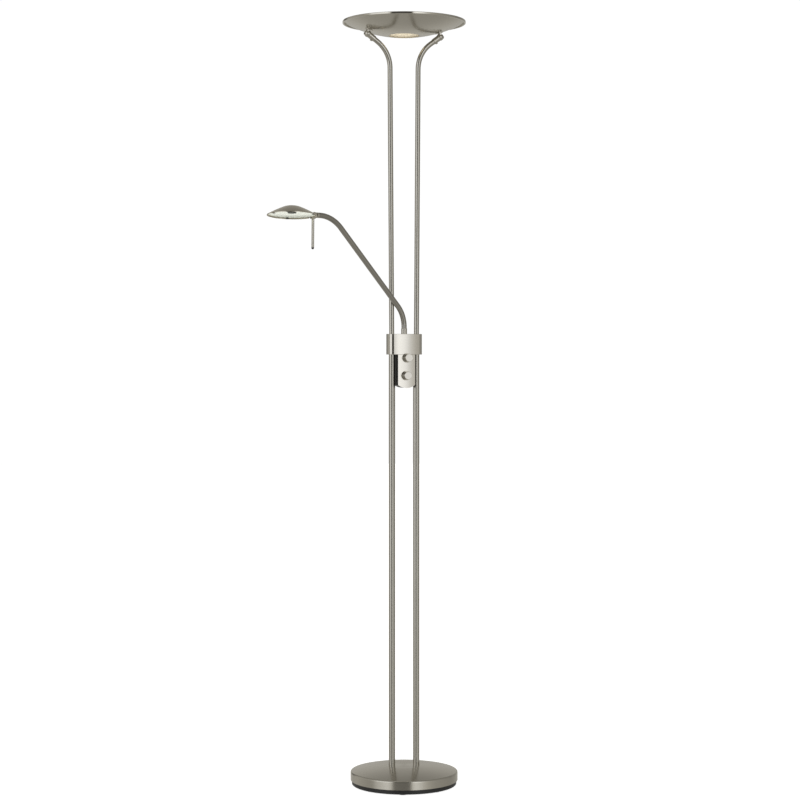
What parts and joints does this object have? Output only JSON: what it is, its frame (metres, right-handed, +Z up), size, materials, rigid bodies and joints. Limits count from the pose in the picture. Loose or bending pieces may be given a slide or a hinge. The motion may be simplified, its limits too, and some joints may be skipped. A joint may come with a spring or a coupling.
{
  "type": "torchiere floor lamp with reading light",
  "caption": "Tall floor lamp with a shallow tilting dish on slim poles, a round weighted base, a dimmer box with round knobs, and a swivelling bent arm with a small reading shade.",
  "frame": {"origin": "on the floor, under the middle of the round base, in the plane of the feet's lower faces", "axes": "+Z up along the poles' middle line, +X through the right-hand pole, -Y towards the dimmer knobs"},
  "size_m": [0.512, 0.3431, 1.799],
  "materials": {
    "satin_nickel": "satin nickel plate over steel",
    "nickel_knob": "satin",
    "cast_weight": "rough casting",
    "black_plastic": "fine texture",
    "black_rubber": "matte",
    "zinc_steel": "zinc plate",
    "brass": "turned",
    "circuit_board": "board with parts in one piece",
    "pale_plastic": "moulded",
    "wire_sleeve": "smooth",
    "frosted_glass": "sand blasted",
    "clear_glass": "polished",
    "green_glass": "polished, thick, grey green",
    "lamp_glass": "clear quartz",
    "ceramic_white": "unglazed",
    "bright_aluminium": "bright",
    "holder_dark": "moulded, heat resistant",
    "tip_dark": "moulded"
  },
  "bodies": {
    "stand": {"base_cover": "satin_nickel", "base_weight": "cast_weight", "base_tray": "black_plastic", "base_feet": "black_rubber", "tray_screws": "zinc_steel", "cord_grommet": "black_rubber", "pole_studs": "zinc_steel", "pole_nuts": "zinc_steel", "lower_pole_left": "satin_nickel", "lower_pole_right": "satin_nickel", "upper_pole_left": "satin_nickel", "upper_pole_right": "satin_nickel", "knuckle_left": "satin_nickel", "knuckle_right": "satin_nickel", "knuckle_set_screws": "satin_nickel", "tilt_bolts": "satin_nickel", "bracket_body": "satin_nickel", "bracket_set_screws": "zinc_steel", "arm_bush": "brass", "box_face": "satin_nickel", "box_housing": "black_plastic", "box_lid": "black_plastic", "box_screws": "zinc_steel", "dimmer_board": "circuit_board", "terminal_block": "pale_plastic", "pot_upper": "pale_plastic", "pot_lower": "pale_plastic", "pot_nuts": "brass", "supply_wire": "wire_sleeve", "uplighter_wire": "wire_sleeve"},
    "uplighter": {"uplighter_bowl": "satin_nickel", "bowl_flange_left": "satin_nickel", "bowl_flange_right": "satin_nickel", "flange_screws": "zinc_steel", "bottom_glass": "frosted_glass", "glass_ring": "bright_aluminium", "lamp_carrier": "zinc_steel", "carrier_spacers": "zinc_steel", "lamp_holders": "ceramic_white", "linear_lamp": "lamp_glass", "safety_glass": "clear_glass", "glass_clips": "zinc_steel"},
    "reading_arm": {"arm_tube": "satin_nickel", "arm_wire": "wire_sleeve", "arm_ferrule": "satin_nickel", "arm_nut": "zinc_steel", "arm_spigot": "zinc_steel"},
    "head_yoke": {"swivel_block": "satin_nickel"},
    "reading_head": {"reading_shade": "satin_nickel", "shade_fork": "satin_nickel", "fork_pin": "zinc_steel", "reading_reflector": "bright_aluminium", "reading_lampholder": "holder_dark", "capsule_lamp": "lamp_glass", "reading_glass": "green_glass", "reading_clips": "zinc_steel", "handle_rod": "satin_nickel", "handle_tip": "tip_dark"},
    "upper_knob": {"knob_upper": "nickel_knob"},
    "lower_knob": {"knob_lower": "nickel_knob"}
  },
  "joints": [
    {"name": "uplighter_tilt", "type": "hinge", "parent": "stand", "child": "uplighter", "pos_m": [0, 0, 1.7662], "axis": [1, 0, 0], "range_deg": [-45, 45]},
    {"name": "arm_swivel", "type": "hinge", "parent": "stand", "child": "reading_arm", "pos_m": [0, 0, 1.0635], "axis": [0, 0, 1], "range_deg": [0, 130]},
    {"name": "head_roll", "type": "hinge", "parent": "reading_arm", "child": "head_yoke", "pos_m": [-0.25433, -0.11591, 1.331], "axis": [-0.91, -0.4147, 0], "range_deg": [-90, 90]},
    {"name": "head_tilt", "type": "hinge", "parent": "head_yoke", "child": "reading_head", "pos_m": [-0.25433, -0.11591, 1.331], "axis": [-0.4139, 0.9083, -0.061], "range_deg": [-30, 60]},
    {"name": "knob_upper_turn", "type": "hinge", "parent": "stand", "child": "upper_knob", "pos_m": [0.0004, -0.0216, 1.0073], "axis": [0, 1, 0], "range_deg": [0, 270]},
    {"name": "knob_lower_turn", "type": "hinge", "parent": "stand", "child": "lower_knob", "pos_m": [-0.002, -0.0216, 0.9657], "axis": [0, 1, 0], "range_deg": [0, 270]}
  ]
}
